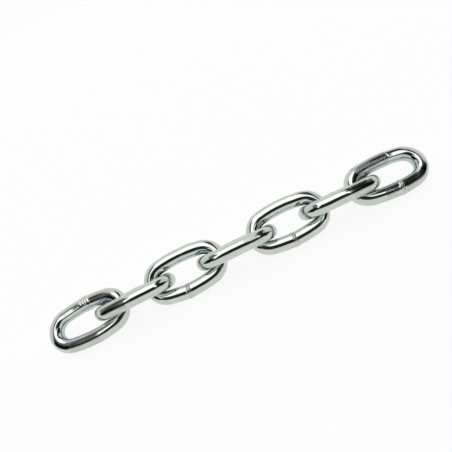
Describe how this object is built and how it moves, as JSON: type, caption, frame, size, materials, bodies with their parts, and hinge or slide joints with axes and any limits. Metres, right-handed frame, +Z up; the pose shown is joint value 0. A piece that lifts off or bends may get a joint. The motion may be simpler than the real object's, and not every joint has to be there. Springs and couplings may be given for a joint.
{
  "type": "short length of welded steel chain",
  "caption": "Short length of welded steel chain, zinc plated: round-bar oval links threaded through each other, lying straight on a floor.",
  "frame": {"origin": "on the floor under the middle of the chain, at the centre of its bounding box in X and Y", "axes": "+X along the chain towards link_7, +Z up from the floor, +Y completes the right hand and points to the chain's far side in the picture"},
  "size_m": [0.2274, 0.0256, 0.0205],
  "materials": {
    "zinc_steel": "bright zinc plated"
  },
  "bodies": {
    "link_1": {"link_1": "zinc_steel"},
    "link_2": {"link_2": "zinc_steel"},
    "link_3": {"link_3": "zinc_steel"},
    "link_4": {"link_4": "zinc_steel"},
    "link_5": {"link_5": "zinc_steel"},
    "link_6": {"link_6": "zinc_steel"},
    "link_7": {"link_7": "zinc_steel"}
  },
  "joints": [
    {"name": "link_3_swing", "type": "hinge", "parent": "link_4", "child": "link_3", "pos_m": [-0.0204, 0, 0.01037], "axis": [0, -0.6157, 0.788], "range_deg": [-90, 90]},
    {"name": "link_2_swing", "type": "hinge", "parent": "link_3", "child": "link_2", "pos_m": [-0.0512, 0, 0.01037], "axis": [-0.0138, 0.6157, 0.7879], "range_deg": [-90, 90]},
    {"name": "link_1_swing", "type": "hinge", "parent": "link_2", "child": "link_1", "pos_m": [-0.0816, 0, 0.01002], "axis": [-0.0538, -0.5142, 0.856], "range_deg": [-90, 90]},
    {"name": "link_5_swing", "type": "hinge", "parent": "link_4", "child": "link_5", "pos_m": [0.0196, 0, 0.01037], "axis": [0, -0.6157, 0.788], "range_deg": [-90, 90]},
    {"name": "link_6_swing", "type": "hinge", "parent": "link_5", "child": "link_6", "pos_m": [0.0504, 0, 0.01037], "axis": [0.0138, 0.6157, 0.7879], "range_deg": [-90, 90]},
    {"name": "link_7_swing", "type": "hinge", "parent": "link_6", "child": "link_7", "pos_m": [0.0814, 0, 0.01002], "axis": [0.0538, -0.5142, 0.856], "range_deg": [-90, 90]}
  ]
}
